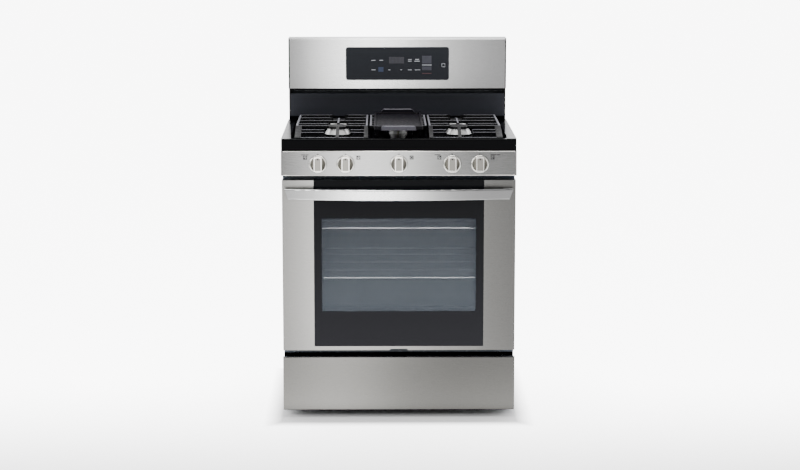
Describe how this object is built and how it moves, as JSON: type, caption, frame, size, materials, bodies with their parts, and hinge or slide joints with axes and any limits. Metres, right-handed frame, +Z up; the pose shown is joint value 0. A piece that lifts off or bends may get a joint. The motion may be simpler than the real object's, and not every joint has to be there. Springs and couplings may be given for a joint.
{
  "type": "freestanding gas range",
  "caption": "Freestanding kitchen gas range with a sealed-burner cooktop, griddle, drop-down glass oven door, storage drawer and a rear backguard with touch controls.",
  "frame": {"origin": "on the floor under the middle of the outer box, at the levelling feet's soles", "axes": "+Z up, +X to the right of someone facing the range, +Y towards the wall; the door and knobs face -Y"},
  "size_m": [0.759, 0.714, 1.197],
  "materials": {
    "stainless": "brushed stainless, fine horizontal grain",
    "door_trim_steel": "brushed stainless, folded edges",
    "black_enamel": "glossy black porcelain enamel",
    "light_trim": "satin light grey steel",
    "oven_enamel": "speckled dark blue-grey oven enamel",
    "body_paint": "grey powder paint",
    "galvanised": "galvanised sheet",
    "dark_glass": "dark printed oven glass",
    "clear_glass": "clear heat-resistant glass",
    "black_glass": "gloss black touch glass",
    "cast_iron": "satin black enamelled cast iron",
    "griddle_coat": "seasoned dark grey cast iron",
    "burner_aluminium": "die-cast satin aluminium",
    "chrome_wire": "nickel-chromed wire",
    "steel_tube": "aluminised steel tube",
    "brass": "machined brass",
    "knob_plate": "satin metallised knob",
    "handle_steel": "satin stainless bar",
    "insulation": "glass-fibre blanket",
    "gasket": "braided glass-fibre rope",
    "electronics": "black moulded housing",
    "ceramic_white": "white ceramic",
    "lamp_glass": "frosted lamp cover",
    "gland": "black nylon",
    "foot": "black moulded foot"
  },
  "bodies": {
    "cabinet": {"side_panel_left": "body_paint", "side_panel_right": "body_paint", "rear_panel": "galvanised", "front_frame": "oven_enamel", "base_frame": "galvanised", "leveling_legs": "foot", "oven_liner": "oven_enamel", "oven_floor_panel": "oven_enamel", "rack_guides": "chrome_wire", "oven_insulation": "insulation", "bake_burner": "steel_tube", "broil_burner": "steel_tube", "igniters": "ceramic_white", "temperature_probe": "steel_tube", "oven_lamp": "lamp_glass", "oven_vent_duct": "galvanised", "backguard_panel": "stainless", "backguard_end_caps": "light_trim", "backguard_rear_cover": "galvanised", "backsplash": "black_enamel", "touch_glass": "black_glass", "control_electronics": "electronics", "cooktop_panel": "black_enamel", "cooktop_side_trims": "light_trim", "burner_box": "galvanised", "burner_heads": "burner_aluminium", "burner_caps": "black_enamel", "gas_manifold": "steel_tube", "gas_valve_bodies": "brass", "burner_gas_tubes": "steel_tube", "gas_regulator": "burner_aluminium", "control_fascia": "stainless", "fascia_end_caps": "stainless", "power_inlet_gland": "gland"},
    "oven_door": {"door_trims": "door_trim_steel", "door_glass": "dark_glass", "door_frame": "black_enamel", "door_liner": "oven_enamel", "door_inner_glass": "clear_glass", "door_gasket": "gasket", "door_handle": "handle_steel", "door_hinges": "steel_tube"},
    "storage_drawer": {"drawer_front": "door_trim_steel", "drawer_box": "body_paint"},
    "rack_upper": {"rack_upper": "chrome_wire"},
    "rack_lower": {"rack_lower": "chrome_wire"},
    "valve_plug_1": {"valve_plug_1": "brass"},
    "knob_1": {"knob_1": "knob_plate"},
    "valve_plug_2": {"valve_plug_2": "brass"},
    "knob_2": {"knob_2": "knob_plate"},
    "valve_plug_3": {"valve_plug_3": "brass"},
    "knob_3": {"knob_3": "knob_plate"},
    "valve_plug_4": {"valve_plug_4": "brass"},
    "knob_4": {"knob_4": "knob_plate"},
    "valve_plug_5": {"valve_plug_5": "brass"},
    "knob_5": {"knob_5": "knob_plate"},
    "grate_left": {"grate_left": "cast_iron"},
    "grate_right": {"grate_right": "cast_iron"},
    "grate_centre": {"grate_centre": "cast_iron"},
    "griddle": {"griddle": "griddle_coat"}
  },
  "joints": [
    {"name": "door_hinge", "type": "hinge", "parent": "cabinet", "child": "oven_door", "pos_m": [0, -0.27, 0.235], "axis": [1, 0, 0], "range_deg": [0, 90], "stiffness_Nm_per_rad": 14, "springref_deg": -8.59},
    {"name": "drawer_slide", "type": "slide", "parent": "cabinet", "child": "storage_drawer", "axis": [0, -1, 0], "range_m": [0, 0.4]},
    {"name": "rack_upper_slide", "type": "slide", "parent": "cabinet", "child": "rack_upper", "axis": [0, -1, 0], "range_m": [0, 0.015]},
    {"name": "rack_lower_slide", "type": "slide", "parent": "cabinet", "child": "rack_lower", "axis": [0, -1, 0], "range_m": [0, 0.015]},
    {"name": "knob_1_turn", "type": "hinge", "parent": "cabinet", "child": "valve_plug_1", "pos_m": [-0.26, -0.29325, 0.834], "axis": [0, -0.9949, 0.1008], "range_deg": [0, 230]},
    {"name": "knob_1_push", "type": "slide", "parent": "valve_plug_1", "child": "knob_1", "axis": [0, 0.9949, -0.1008], "range_m": [0, 0.003], "stiffness_N_per_m": 1500, "springref_m": -0.003},
    {"name": "knob_2_turn", "type": "hinge", "parent": "cabinet", "child": "valve_plug_2", "pos_m": [-0.171, -0.29325, 0.834], "axis": [0, -0.9949, 0.1008], "range_deg": [0, 230]},
    {"name": "knob_2_push", "type": "slide", "parent": "valve_plug_2", "child": "knob_2", "axis": [0, 0.9949, -0.1008], "range_m": [0, 0.003], "stiffness_N_per_m": 1500, "springref_m": -0.003},
    {"name": "knob_3_turn", "type": "hinge", "parent": "cabinet", "child": "valve_plug_3", "pos_m": [0, -0.29325, 0.834], "axis": [0, -0.9949, 0.1008], "range_deg": [0, 230]},
    {"name": "knob_3_push", "type": "slide", "parent": "valve_plug_3", "child": "knob_3", "axis": [0, 0.9949, -0.1008], "range_m": [0, 0.003], "stiffness_N_per_m": 1500, "springref_m": -0.003},
    {"name": "knob_4_turn", "type": "hinge", "parent": "cabinet", "child": "valve_plug_4", "pos_m": [0.171, -0.29325, 0.834], "axis": [0, -0.9949, 0.1008], "range_deg": [0, 230]},
    {"name": "knob_4_push", "type": "slide", "parent": "valve_plug_4", "child": "knob_4", "axis": [0, 0.9949, -0.1008], "range_m": [0, 0.003], "stiffness_N_per_m": 1500, "springref_m": -0.003},
    {"name": "knob_5_turn", "type": "hinge", "parent": "cabinet", "child": "valve_plug_5", "pos_m": [0.26, -0.29325, 0.834], "axis": [0, -0.9949, 0.1008], "range_deg": [0, 230]},
    {"name": "knob_5_push", "type": "slide", "parent": "valve_plug_5", "child": "knob_5", "axis": [0, 0.9949, -0.1008], "range_m": [0, 0.003], "stiffness_N_per_m": 1500, "springref_m": -0.003},
    {"name": "grate_left_lift", "type": "slide", "parent": "cabinet", "child": "grate_left", "axis": [0, 0, 1], "range_m": [0, 0.12]},
    {"name": "grate_right_lift", "type": "slide", "parent": "cabinet", "child": "grate_right", "axis": [0, 0, 1], "range_m": [0, 0.12]},
    {"name": "grate_centre_lift", "type": "slide", "parent": "cabinet", "child": "grate_centre", "axis": [0, 0, 1], "range_m": [0, 0.12]},
    {"name": "griddle_lift", "type": "slide", "parent": "grate_centre", "child": "griddle", "axis": [0, 0, 1], "range_m": [0, 0.12]}
  ]
}
